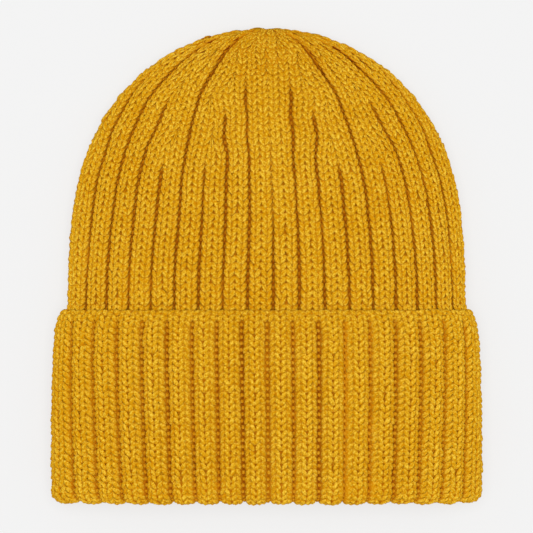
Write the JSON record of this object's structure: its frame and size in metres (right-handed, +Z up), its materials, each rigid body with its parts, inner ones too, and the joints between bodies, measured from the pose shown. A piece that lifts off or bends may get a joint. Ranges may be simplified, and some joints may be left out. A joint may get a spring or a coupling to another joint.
{
  "type": "ribbed knit beanie",
  "caption": "Ribbed knit beanie lying flat, with a deep turned-up cuff, a seam up the front and a crown gathered to a point.",
  "frame": {"origin": "on the surface that the hat lies on, under the middle of its bounding box", "axes": "+Z up from the surface, +Y from the rim to the crown's tip, +X across the hat to the right of its front face"},
  "size_m": [0.2072, 0.2314, 0.0299],
  "materials": {
    "crown_knit": "matte mustard yellow yarn, 2x2 rib",
    "cuff_knit": "matte mustard yellow yarn, 2x2 rib turned inside out"
  },
  "bodies": {
    "root": {"crown": "crown_knit", "cuff": "cuff_knit"}
  },
  "joints": []
}
